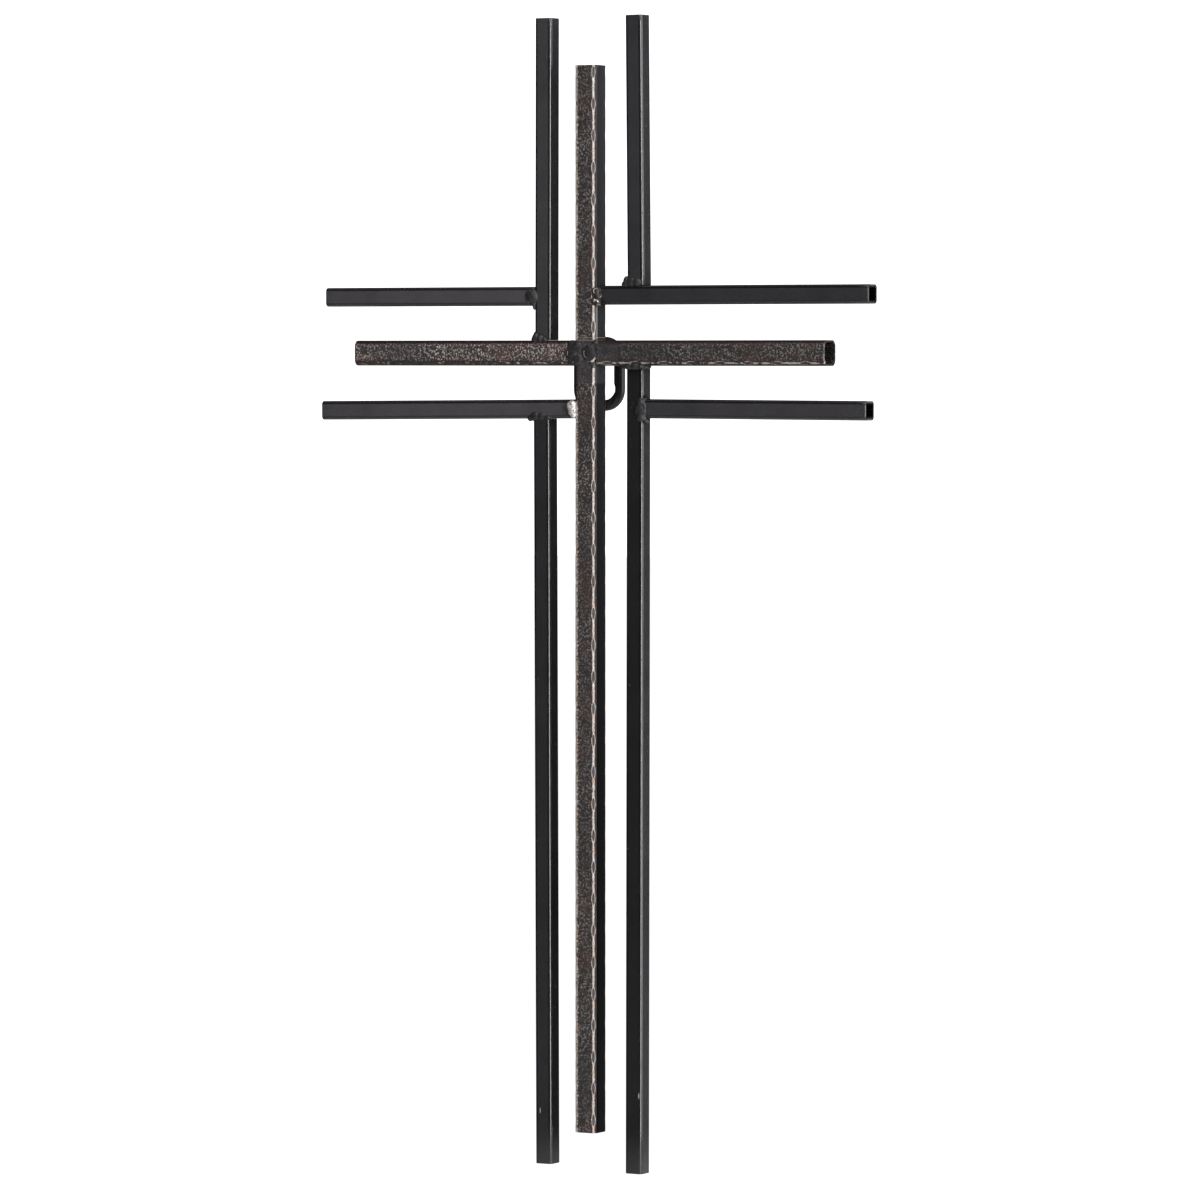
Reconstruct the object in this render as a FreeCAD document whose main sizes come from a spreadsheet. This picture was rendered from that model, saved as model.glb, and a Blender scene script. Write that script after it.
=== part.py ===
import FreeCAD, Part
import math
import os
import re
import Sketcher
from FreeCAD import Vector

# A wall cross of butt-welded square tube. A hammered post and two hammered arms make the
# middle cross, smooth thinner tubes stand, hang and reach out around its crossing like a
# pinwheel, and an oval ring of round rod is tacked to the back to hang it by.
#
# Frame: X to the right, Y to the back (the wall), Z up. The origin is the highest point of
# the inside of the ring, where the cross hangs. Heights in the sheet are counted from the
# middle of the crossing, and all the tubes are flush with each other at the back.

SIZES = {
    # tube and rod stock
    "hammered_side": (16, "outside width of the hammered tube"),
    "hammered_corner": (4, "outside corner radius of the hammered tube"),
    "smooth_side": (12, "outside width of the smooth tube"),
    "smooth_corner": (2.4, "outside corner radius of the smooth tube"),
    "wall": (1.5, "wall of both tubes"),
    "root_gap": (0.1, "gap left between a tube's cut end and the face it meets"),
    # middle cross
    "post_head": (180, "top of the post above the crossing"),
    "post_foot": (490, "bottom of the post below the crossing"),
    "left_arm_tip": (168.6, "left arm's open end from the middle"),
    "right_arm_tip": (168.9, "right arm's open end from the middle"),
    # upper left: post on the arm, bar against the post
    "upper_left_offset": (32.6, "foot of the upper left post from the middle"),
    "upper_left_lean": (0.11, "lean of the upper left post to the right, degrees"),
    "upper_left_top": (210.2, "top of the upper left post"),
    "upper_left_bar_tip": (192.5, "upper left bar's open end from the middle"),
    "upper_left_bar_height": (35.7, "middle of the upper left bar"),
    # upper right: bar against the middle post, post on the bar
    "upper_right_bar_tip": (197.3, "upper right bar's open end from the middle"),
    "upper_right_bar_height": (36.2, "middle of the upper right bar"),
    "upper_right_offset": (34, "foot of the upper right post from the middle"),
    "upper_right_lean": (0.51, "lean of the upper right post to the left, degrees"),
    "upper_right_top": (210.6, "top of the upper right post"),
    # lower right: post under the arm, bar against the post
    "lower_right_offset": (32.7, "bottom of the lower right post from the middle"),
    "lower_right_lean": (0.09, "lean of the lower right post to the right, degrees"),
    "lower_right_foot": (514.3, "bottom of the lower right post"),
    "lower_right_bar_tip": (195.4, "lower right bar's open end from the middle"),
    "lower_right_bar_drop": (34.7, "inner end of the lower right bar below the crossing"),
    "lower_right_tilt": (0.24, "fall of the lower right bar to its open end, degrees"),
    # lower left: bar against the middle post, post under the bar
    "lower_left_bar_tip": (195.6, "lower left bar's open end from the middle"),
    "lower_left_bar_drop": (36.7, "open end of the lower left bar below the crossing"),
    "lower_left_tilt": (0.52, "fall of the lower left bar to its open end, degrees"),
    "lower_left_offset": (32.1, "bottom of the lower left post from the middle"),
    "lower_left_lean": (0.195, "lean of the lower left post to the left, degrees"),
    "lower_left_foot": (511.8, "bottom of the lower left post"),
    # rolled marks along the corners of the hammered tube
    "mark_pitch": (19.92, "distance from mark to mark"),
    "mark_start": (8.3, "first mark from the tube's end"),
    "mark_radius": (45, "radius of the roll that presses a mark"),
    "mark_depth": (0.18, "depth of a mark"),
    "mark_turn": (35, "turn of a mark round its corner from one of its faces, degrees"),
    # hanging ring
    "ring_rod": (7, "thickness of the ring's rod"),
    "ring_width": (29, "width of the ring along the middle of its rod"),
    "ring_height": (39.6, "height of the ring along the middle of its rod"),
    "ring_bend": (10, "radius of the ring's four bends"),
    "ring_rise": (3.3, "inside top of the ring above the crossing"),
    "notch_radius": (4.5, "radius of the worn notch in the ring's right leg"),
    "notch_depth": (2, "depth of the notch"),
    "notch_drop": (22.5, "middle of the notch below the crossing"),
    # weld beads
    "crossing_bead": (7.5, "radius of the two big beads on the crossing"),
    "crossing_rise": (1.3, "height of those beads above the hammered fronts"),
    "spot_bead": (6.3, "radius of the domed spot weld"),
    "spot_rise": (2, "height of the spot weld above the smooth fronts"),
    "seam_bead": (3.2, "radius of a bead over a seam between flush fronts"),
    "seam_rise": (1.4, "height of those beads above the smooth fronts"),
    "corner_bead": (2.9, "radius of a bead laid in an inside corner"),
    "bead_shift": (1.6, "how far a bead lies to one side of its seam"),
}

# Tube: name, stock, angle from upright towards the right, place of its lower or left end
# across and up from the crossing, and length. Every entry is a formula of the sheet's sizes.
TUBES = [
    ("center_post", "hammered", "0", "0", "-post_foot", "post_foot + post_head"),
    ("left_arm", "hammered", "90", "-left_arm_tip", "0",
     "left_arm_tip - hammered_side / 2 - root_gap"),
    ("right_arm", "hammered", "90", "hammered_side / 2 + root_gap", "0",
     "right_arm_tip - hammered_side / 2 - root_gap"),
    ("upper_left_post", "smooth", "upper_left_lean", "-upper_left_offset",
     "hammered_side / 2 + root_gap",
     "upper_left_top - hammered_side / 2 - root_gap"),
    ("upper_left_bar", "smooth", "90", "-upper_left_bar_tip", "upper_left_bar_height",
     "upper_left_bar_tip - upper_left_offset - smooth_side / 2 - root_gap"),
    ("upper_right_bar", "smooth", "90", "hammered_side / 2 + root_gap", "upper_right_bar_height",
     "upper_right_bar_tip - hammered_side / 2 - root_gap"),
    ("upper_right_post", "smooth", "-upper_right_lean", "upper_right_offset",
     "upper_right_bar_height + smooth_side / 2 + root_gap",
     "upper_right_top - upper_right_bar_height - smooth_side / 2 - root_gap"),
    ("lower_right_post", "smooth", "lower_right_lean", "lower_right_offset",
     "-lower_right_foot",
     "lower_right_foot - hammered_side / 2 - root_gap"),
    ("lower_right_bar", "smooth", "90 + lower_right_tilt",
     "lower_right_offset + (lower_right_foot - lower_right_bar_drop) * tan(lower_right_lean)"
     " + smooth_side / 2 + root_gap",
     "-lower_right_bar_drop",
     "lower_right_bar_tip - lower_right_offset - smooth_side / 2 - root_gap"
     " - (lower_right_foot - lower_right_bar_drop) * tan(lower_right_lean)"),
    ("lower_left_bar", "smooth", "90 - lower_left_tilt", "-lower_left_bar_tip",
     "-lower_left_bar_drop",
     "lower_left_bar_tip - hammered_side / 2 - root_gap"),
    ("lower_left_post", "smooth", "-lower_left_lean", "-lower_left_offset",
     "-lower_left_foot",
     "lower_left_foot - lower_left_bar_drop - smooth_side / 2 - root_gap"
     " + (lower_left_bar_tip - lower_left_offset) * tan(lower_left_tilt)"),
]

HAMMERED_FRONT = "-ring_rod / 2 - hammered_side"
SMOOTH_FRONT = "-ring_rod / 2 - smooth_side"
BACK = "-ring_rod / 2"

# Weld: name, angle of its run from upright, middle of the bead across, back and up, its
# radius and the length of its run between its round ends, and the pieces that it joins.
WELDS = [
    ("weld_crossing_left", 0,
     ("-hammered_side / 2 - bead_shift", HAMMERED_FRONT + " + crossing_bead - crossing_rise", "0"),
     "crossing_bead", "2 * bead_shift", ("center_post", "left_arm")),
    ("weld_crossing_right", 0,
     ("hammered_side / 2 - bead_shift", HAMMERED_FRONT + " + crossing_bead - crossing_rise",
      "-bead_shift / 2"),
     "crossing_bead", "bead_shift", ("center_post", "right_arm")),
    ("weld_upper_left_foot", 90,
     ("-upper_left_offset - bead_shift", SMOOTH_FRONT, "hammered_side / 2"),
     "corner_bead", "smooth_side - 2 * corner_bead + bead_shift",
     ("left_arm", "upper_left_post")),
    ("weld_upper_left_bar", 0,
     ("-upper_left_offset - smooth_side / 2 - bead_shift",
      SMOOTH_FRONT + " + spot_bead - spot_rise", "upper_left_bar_height"),
     "spot_bead", "bead_shift / 4", ("upper_left_post", "upper_left_bar")),
    ("weld_upper_right_bar", 0,
     ("hammered_side / 2", SMOOTH_FRONT, "upper_right_bar_height - bead_shift / 2"),
     "corner_bead", "smooth_side - 2 * corner_bead", ("center_post", "upper_right_bar")),
    ("weld_upper_right_foot", 90,
     ("upper_right_offset - bead_shift", SMOOTH_FRONT + " + seam_bead - seam_rise",
      "upper_right_bar_height + smooth_side / 2 + bead_shift"),
     "seam_bead", "smooth_side - 2 * seam_bead + bead_shift",
     ("upper_right_bar", "upper_right_post")),
    ("weld_lower_right_top", 90,
     ("lower_right_offset + bead_shift", SMOOTH_FRONT, "-hammered_side / 2"),
     "corner_bead", "smooth_side - 2 * corner_bead + bead_shift",
     ("right_arm", "lower_right_post")),
    ("weld_lower_right_bar", 0,
     ("lower_right_offset + smooth_side / 2 + bead_shift",
      SMOOTH_FRONT + " + seam_bead - seam_rise", "-lower_right_bar_drop"),
     "seam_bead", "smooth_side - seam_bead", ("lower_right_post", "lower_right_bar")),
    ("weld_lower_left_bar", 0,
     ("-hammered_side / 2 - bead_shift", SMOOTH_FRONT, "-lower_right_bar_drop"),
     "corner_bead", "smooth_side - 2 * corner_bead", ("center_post", "lower_left_bar")),
    ("weld_lower_left_top", 90,
     ("-lower_left_offset - 3 * bead_shift", SMOOTH_FRONT + " + seam_bead - seam_rise",
      "-lower_left_bar_drop - bead_shift"),
     "seam_bead", "smooth_side - 2 * seam_bead", ("lower_left_bar", "lower_left_post")),
    ("weld_ring_left", 0,
     ("-ring_width / 2 - ring_rod / 2", BACK, "0"),
     "corner_bead", "smooth_side - 2 * corner_bead", ("left_arm", "hanging_ring")),
    ("weld_ring_right", 0,
     ("ring_width / 2 + ring_rod / 2", BACK, "0"),
     "corner_bead", "smooth_side - 2 * corner_bead", ("right_arm", "hanging_ring")),
]

# half the width that a sketch is first drawn with, before its sizes are bound to the sheet
ROUGH = 5
# how far apart two places along a tube's corner may be and still count as the same
CLOSE = 1e-3

doc = FreeCAD.newDocument("cross")


def fill_sheet():
    """Write every driving size to the sheet, with its alias and what it is."""
    sheet = doc.addObject("Spreadsheet::Sheet", "sizes")
    for row, (alias, (value, meaning)) in enumerate(SIZES.items(), start=1):
        sheet.set("A%d" % row, meaning)
        sheet.set("B%d" % row, str(value))
        sheet.setAlias("B%d" % row, alias)
    doc.recompute()


def formula(text):
    """Turn sheet aliases in a formula into references to the sheet."""
    def refer(word):
        return "sizes." + word[0] if word[0] in SIZES else word[0]

    return re.sub(r"[a-z_]+", refer, text)


def bind(thing, name, text):
    """Bind one property of an object to a formula of the sheet's sizes."""
    thing.setExpression(name, formula(text))


def place(thing, across, back, up, angle="0"):
    """Bind a thing's place, with its height counted from the crossing."""
    point = "vector(%s; %s; %s - ring_rise)" % (across, back, up)
    bind(thing, "Placement", "placement(%s; rotation(vector(0; 1; 0); %s))" % (point, angle))


def datum(body, role):
    """Plane or axis of a body's origin, by its role."""
    return next(item for item in body.Origin.OriginFeatures if item.Role == role)


def new_sketch(body, name, role):
    """Start a sketch on one of a body's origin planes."""
    sketch = body.newObject("Sketcher::SketchObject", name)
    sketch.AttachmentSupport = [(datum(body, role), "")]
    sketch.MapMode = "FlatFace"
    return sketch


def draw_square(sketch, width):
    """Draw a square around the sketch's origin, with its width bound to a formula."""
    corners = [
        Vector(-ROUGH, -ROUGH, 0),
        Vector(ROUGH, -ROUGH, 0),
        Vector(ROUGH, ROUGH, 0),
        Vector(-ROUGH, ROUGH, 0),
    ]
    for start, end in zip(corners, corners[1:] + corners[:1]):
        sketch.addGeometry(Part.LineSegment(start, end), False)
    for side in range(4):
        sketch.addConstraint(Sketcher.Constraint("Coincident", side, 2, (side + 1) % 4, 1))
    for side in (0, 2):
        sketch.addConstraint(Sketcher.Constraint("Horizontal", side))
        sketch.addConstraint(Sketcher.Constraint("Vertical", side + 1))
    sketch.addConstraint(Sketcher.Constraint("Symmetric", 0, 1, 1, 2, -1, 1))
    sketch.addConstraint(Sketcher.Constraint("Equal", 0, 1))
    across = sketch.addConstraint(Sketcher.Constraint("Distance", 0, 2 * ROUGH))
    bind(sketch, "Constraints[%d]" % across, width)


def long_edges(shape, reach):
    """Names of the edges that run the length of a tube, out past a distance from its axis."""
    names = []
    for number, edge in enumerate(shape.Edges, start=1):
        first = edge.firstVertex().Point
        last = edge.lastVertex().Point
        upright = math.hypot(first.x - last.x, first.y - last.y) < CLOSE
        if upright and math.hypot(abs(first.x) - reach, abs(first.y) - reach) < CLOSE:
            names.append("Edge%d" % number)
    return names


def round_edges(body, name, base, reach, radius):
    """Round the long edges that stand at a distance from a tube's axis."""
    doc.recompute()
    rounding = body.newObject("PartDesign::Fillet", name)
    rounding.Base = (base, long_edges(base.Shape, reach))
    bind(rounding, "Radius", radius)
    body.Tip = rounding
    doc.recompute()
    return rounding


def press_marks(body, length):
    """Press a row of shallow marks into each corner, all along a hammered tube."""
    sketch = new_sketch(body, "roll_on_" + body.Label, "XZ_Plane")
    bind(sketch, "AttachmentOffset",
         "placement(vector(0; 0; 0); rotation(vector(0; 1; 0); mark_turn))")
    roll = Part.Circle(Vector(2 * ROUGH, ROUGH, 0), Vector(0, 0, 1), ROUGH)
    sketch.addGeometry(roll, False)
    radius = sketch.addConstraint(Sketcher.Constraint("Radius", 0, ROUGH))
    across = sketch.addConstraint(Sketcher.Constraint("DistanceX", -1, 1, 0, 3, 2 * ROUGH))
    along = sketch.addConstraint(Sketcher.Constraint("DistanceY", -1, 1, 0, 3, ROUGH))
    bind(sketch, "Constraints[%d]" % radius, "mark_radius")
    bind(sketch, "Constraints[%d]" % across,
         "(hammered_side / 2 - hammered_corner) * (sin(mark_turn) + cos(mark_turn))"
         " + hammered_corner - mark_depth + mark_radius")
    bind(sketch, "Constraints[%d]" % along, "mark_start")
    mark = body.newObject("PartDesign::Pocket", "mark_on_" + body.Label)
    mark.Profile = sketch
    mark.Midplane = True
    bind(mark, "Length", "hammered_side / 2")
    doc.recompute()
    axis = datum(body, "Z_Axis")
    along_tube = doc.addObject("PartDesign::LinearPattern", "along_" + body.Label)
    along_tube.Direction = (axis, [""])
    bind(along_tube, "Length", "floor((%s - mark_start) / mark_pitch) * mark_pitch" % length)
    bind(along_tube, "Occurrences", "floor((%s - mark_start) / mark_pitch) + 1" % length)
    around_tube = doc.addObject("PartDesign::PolarPattern", "around_" + body.Label)
    around_tube.Axis = (axis, [""])
    around_tube.Angle = 360
    around_tube.Occurrences = 4
    marks = body.newObject("PartDesign::MultiTransform", "marks_on_" + body.Label)
    marks.Originals = [mark]
    marks.Transformations = [along_tube, around_tube]
    body.Tip = marks
    doc.recompute()


def make_tube(name, stock, angle, across, up, length):
    """Make one open square tube, standing on its own origin, and put it in its place."""
    body = doc.addObject("PartDesign::Body", name)
    body.Label = name
    side = stock + "_side"
    corner = stock + "_corner"
    outline = new_sketch(body, "outline_of_" + name, "XY_Plane")
    draw_square(outline, side)
    bar = body.newObject("PartDesign::Pad", "bar_of_" + name)
    bar.Profile = outline
    bind(bar, "Length", length)
    half = SIZES[side][0] / 2
    rounded = round_edges(body, "corners_of_" + name, bar, half, corner)
    bore_outline = new_sketch(body, "bore_outline_of_" + name, "XY_Plane")
    draw_square(bore_outline, side + " - 2 * wall")
    bore = body.newObject("PartDesign::Pocket", "bore_of_" + name)
    bore.Profile = bore_outline
    bore.Reversed = True
    bind(bore, "Length", length)
    body.Tip = bore
    doc.recompute()
    if bore.Shape.Volume >= rounded.Shape.Volume:
        raise RuntimeError("bore of %s cuts nothing" % name)
    round_edges(body, "bore_corners_of_" + name, bore, half - SIZES["wall"][0], corner + " - wall")
    if stock == "hammered":
        press_marks(body, length)
    place(body, across, "-ring_rod / 2 - %s / 2" % side, up, angle)
    core = doc.addObject("Part::Box", "core_of_" + name)
    for size in ("Length", "Width"):
        bind(core, size, side + " - 2 * wall")
    bind(core, "Height", length)
    corner_of_core = "placement(vector(wall - %s / 2; wall - %s / 2; 0); rotation(0; 0; 0))"
    bind(core, "Placement", "%s.Placement * " % name + corner_of_core % (side, side))


def make_ring():
    """Bend the oval ring of round rod, below and around its own hanging point."""
    body = doc.addObject("PartDesign::Body", "hanging_ring")
    body.Label = "hanging_ring"
    route = new_sketch(body, "route_of_ring", "XZ_Plane")
    wide = SIZES["ring_width"][0] / 2
    rod = SIZES["ring_rod"][0]
    bend = SIZES["ring_bend"][0]
    top = rod / 2
    foot = top - SIZES["ring_height"][0]
    middles = [
        Vector(wide - bend, top - bend, 0),
        Vector(bend - wide, top - bend, 0),
        Vector(bend - wide, foot + bend, 0),
        Vector(wide - bend, foot + bend, 0),
    ]
    for number, middle in enumerate(middles):
        turn = Part.Circle(middle, Vector(0, 0, 1), bend)
        start = number * math.pi / 2
        route.addGeometry(Part.ArcOfCircle(turn, start, start + math.pi / 2), False)
    for number in range(4):
        here = route.Geometry[number].EndPoint
        there = route.Geometry[(number + 1) % 4].StartPoint
        route.addGeometry(Part.LineSegment(here, there), False)
    for number in range(4):
        route.addConstraint(Sketcher.Constraint("Tangent", number, 2, 4 + number, 1))
        route.addConstraint(Sketcher.Constraint("Tangent", 4 + number, 2, (number + 1) % 4, 1))
    for number in (1, 2, 3):
        route.addConstraint(Sketcher.Constraint("Equal", 0, number))
    route.addConstraint(Sketcher.Constraint("Vertical", 5))
    route.addConstraint(Sketcher.Constraint("Horizontal", 6))
    route.addConstraint(Sketcher.Constraint("Vertical", 7))
    route.addConstraint(Sketcher.Constraint("Symmetric", 0, 2, 1, 1, -2))
    radius = route.addConstraint(Sketcher.Constraint("Radius", 0, bend))
    width = route.addConstraint(Sketcher.Constraint("DistanceX", 5, 1, 7, 1, 2 * wide))
    lift = route.addConstraint(Sketcher.Constraint("DistanceY", -1, 1, 0, 2, top))
    height = route.addConstraint(Sketcher.Constraint("DistanceY", 2, 2, 1, 1, top - foot))
    bind(route, "Constraints[%d]" % radius, "ring_bend")
    bind(route, "Constraints[%d]" % width, "ring_width")
    bind(route, "Constraints[%d]" % lift, "ring_rod / 2")
    bind(route, "Constraints[%d]" % height, "ring_height")
    section = new_sketch(body, "section_of_ring", "YZ_Plane")
    section.addGeometry(Part.Circle(Vector(0, top, 0), Vector(0, 0, 1), rod / 2), False)
    section.addConstraint(Sketcher.Constraint("PointOnObject", 0, 3, -2))
    thick = section.addConstraint(Sketcher.Constraint("Diameter", 0, rod))
    middle = section.addConstraint(Sketcher.Constraint("DistanceY", -1, 1, 0, 3, top))
    bind(section, "Constraints[%d]" % thick, "ring_rod")
    bind(section, "Constraints[%d]" % middle, "ring_rod / 2")
    doc.recompute()
    rod_sweep = body.newObject("PartDesign::AdditivePipe", "rod_of_ring")
    rod_sweep.Profile = section
    rod_sweep.Spine = route
    body.Tip = rod_sweep
    doc.recompute()
    cutter = new_sketch(body, "outline_of_notch", "XZ_Plane")
    wear = Part.Circle(Vector(ROUGH, -ROUGH, 0), Vector(0, 0, 1), ROUGH)
    cutter.addGeometry(wear, False)
    notch_radius = cutter.addConstraint(Sketcher.Constraint("Radius", 0, ROUGH))
    notch_across = cutter.addConstraint(Sketcher.Constraint("DistanceX", -1, 1, 0, 3, ROUGH))
    notch_down = cutter.addConstraint(Sketcher.Constraint("DistanceY", 0, 3, -1, 1, ROUGH))
    bind(cutter, "Constraints[%d]" % notch_radius, "notch_radius")
    bind(cutter, "Constraints[%d]" % notch_across,
         "ring_width / 2 - ring_rod / 2 + notch_depth - notch_radius")
    bind(cutter, "Constraints[%d]" % notch_down, "notch_drop + ring_rise")
    notch = body.newObject("PartDesign::Pocket", "notch_of_ring")
    notch.Profile = cutter
    notch.Midplane = True
    bind(notch, "Length", "ring_rod * 2")
    body.Tip = notch
    doc.recompute()
    if notch.Shape.Volume >= rod_sweep.Shape.Volume:
        raise RuntimeError("the ring's notch cuts nothing")


def make_weld(name, angle, middle, radius, run, joined):
    """Lay one round-ended bead and cut the pieces that it joins out of it, so that it fits."""
    across, back, up = middle
    core = doc.addObject("Part::Cylinder", "run_of_" + name)
    bind(core, "Radius", radius)
    bind(core, "Height", run)
    ends = [doc.addObject("Part::Sphere", "%s_of_%s" % (end, name)) for end in ("start", "end")]
    for end, sign in zip(ends, "-+"):
        bind(end, "Radius", radius)
        step = " %s (%s) / 2" % (sign, run)
        if angle:
            place(end, across + step, back, up)
        else:
            place(end, across, back, up + step)
    if angle:
        place(core, "%s - (%s) / 2" % (across, run), back, up, str(angle))
    else:
        place(core, across, back, "%s - (%s) / 2" % (up, run))
    lump = doc.addObject("Part::MultiFuse", "lump_of_" + name)
    lump.Shapes = [core] + ends
    solids = []
    for piece in joined:
        solids.append(doc.getObject(piece))
        if doc.getObject("core_of_" + piece):
            solids.append(doc.getObject("core_of_" + piece))
    seat = doc.addObject("Part::MultiFuse", "seat_of_" + name)
    seat.Shapes = solids
    bead = doc.addObject("Part::Cut", name)
    bead.Label = name
    bead.Base = lump
    bead.Tool = seat


def write_parts(names):
    """Check every object of the document, then write each piece to its own file."""
    for thing in doc.Objects:
        if "Invalid" in thing.State or "Error" in thing.State:
            raise RuntimeError("%s did not compute: %s" % (thing.Name, thing.State))
    os.makedirs("parts", exist_ok=True)
    for name in names:
        piece = doc.getObject(name)
        if piece.Shape.isNull() or not piece.Shape.isValid() or len(piece.Shape.Solids) != 1:
            raise RuntimeError("%s is not one sound solid" % name)
        piece.Shape.exportStep("parts/%s.step" % piece.Label)
        box = piece.Shape.BoundBox
        print("%-24s %9.1f mm3  X %7.1f %7.1f  Y %6.1f %6.1f  Z %7.1f %7.1f" % (
            name, piece.Shape.Volume, box.XMin, box.XMax, box.YMin, box.YMax, box.ZMin, box.ZMax))


fill_sheet()
for tube in TUBES:
    make_tube(*tube)
make_ring()
for weld in WELDS:
    make_weld(*weld)
doc.recompute()
write_parts([tube[0] for tube in TUBES] + ["hanging_ring"] + [weld[0] for weld in WELDS])
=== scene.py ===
import math

import bmesh
import bpy
import numpy as np
from bpy.props import FloatProperty, FloatVectorProperty, PointerProperty
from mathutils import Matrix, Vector


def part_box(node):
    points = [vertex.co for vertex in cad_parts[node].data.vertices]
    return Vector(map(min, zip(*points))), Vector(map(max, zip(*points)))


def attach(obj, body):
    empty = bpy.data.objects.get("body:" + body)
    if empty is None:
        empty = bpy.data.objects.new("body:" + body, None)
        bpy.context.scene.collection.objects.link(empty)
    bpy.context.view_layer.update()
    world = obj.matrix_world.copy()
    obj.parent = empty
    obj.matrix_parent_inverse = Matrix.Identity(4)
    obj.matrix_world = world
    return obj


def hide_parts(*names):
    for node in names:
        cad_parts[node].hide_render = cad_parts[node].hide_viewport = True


bl_info = {
    "name": "Wrought iron wall cross",
    "version": (1, 0, 0),
    "blender": (4, 5, 0),
    "location": "View3D > Sidebar > Wall cross",
    "description": "Models the tubes, ring, weld beads and paint of a welded wall cross",
    "category": "Object",
}

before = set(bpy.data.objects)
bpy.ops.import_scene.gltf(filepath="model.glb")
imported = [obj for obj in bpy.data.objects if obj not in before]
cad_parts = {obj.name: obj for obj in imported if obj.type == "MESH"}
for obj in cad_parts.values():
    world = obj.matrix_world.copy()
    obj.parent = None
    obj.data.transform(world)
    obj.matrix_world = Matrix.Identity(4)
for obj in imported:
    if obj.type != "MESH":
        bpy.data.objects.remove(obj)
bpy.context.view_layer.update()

MM = 0.001

# The crossing: the middle of the post across, its front, and the middle of the left arm up.
CROSSING = Vector((
    sum(corner.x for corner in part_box("center_post")) / 2,
    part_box("center_post")[0].y,
    sum(corner.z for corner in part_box("left_arm")) / 2,
))

# How far the paint is rubbed off each corner of a hammered tube, from the right front corner
# of the post or the bottom front one of an arm, round the back to the other front corner: all
# along at 1, in flecks about nought, and nowhere at KEPT.
KEPT = -1.0
RUBBED = {
    "center_post": (1.0, 0.5, 0.5, 0.9),
    "left_arm": (0.05, 0.0, -0.4, -0.8),
    "right_arm": (0.35, 0.0, -0.4, -0.8),
}

# The post's left front corner is rubbed bare over a band this many times wider, which is painted
# this much paler as a painted highlight and runs on past the marks.
LEFT_FRONT = 3
WIDER = 4
PAINTED_HIGHLIGHT_GAIN = 2.3

# The dark lens of a rolled mark, and the bare band that parts round it.
LENS_LENGTH = 7.6 * MM
LENS_WIDTH = 1.9 * MM
BARE_WIDTH = 1.3 * MM

# The weld at the crossing: how far up the post its heat went and how far down, how far down each
# corner was painted over, in the order of RUBBED, and how far it went along each arm.
HEAT_TOP = 8 * MM
HEAT_FOOT = -19 * MM
COVERED_FOOT = np.array((-9.5, -9.5, -9.5, -30)) * MM
HEAT_ALONG = {"left_arm": 5 * MM, "right_arm": 17 * MM}

# What is left of the rolled grain where the heat went, and how much paler its coat dried.
HEATED_GRAIN = 0.15
HEATED_TONE = 2.2

# Two runs of spatter cross the post: their middle up from the crossing, and half their gap.
SPATTER_RISE = 8.8 * MM
SPATTER_GAP = 0.9 * MM

# Farther off than any mark of wear reaches.
FAR_OFF = 1.0

# Rings of the hammered tubes' meshes stand this far apart, close enough for the grain, which
# fades out over this much of each side.
RING_STEP = 0.7 * MM
GRAIN_EDGE = 0.6 * MM

# Painted light: each tube is painted paler or darker for how much light falls on it, on its front,
# and on its sides at its top and at its foot. A bar or arm is as pale from end to end.
HAMMERED_TUBES = {
    "center_post": (0.95, 2.0, 0.0),
    "left_arm": (1.9, 1.9, 1.9),
    "right_arm": (0.85, 0.85, 0.85),
}
SMOOTH_TUBES = {
    "upper_left_post": (2.4, 1.2, 0.5),
    "upper_left_bar": (3.7, 3.7, 3.7),
    "upper_right_bar": (1.5, 1.5, 1.5),
    "upper_right_post": (1.7, 1.6, 1.4),
    "lower_right_post": (0.5, 1.45, 1.5),
    "lower_right_bar": (2.2, 2.2, 2.2),
    "lower_left_bar": (3.7, 3.7, 3.7),
    "lower_left_post": (1.1, 0.5, 0.0),
}

# A knock that took the paint off the front of a post: right of the post's middle and up from
# the crossing, in mm.
KNOCKS = {"lower_right_post": (4.2, -465), "lower_left_post": (-2.0, -478)}

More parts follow.
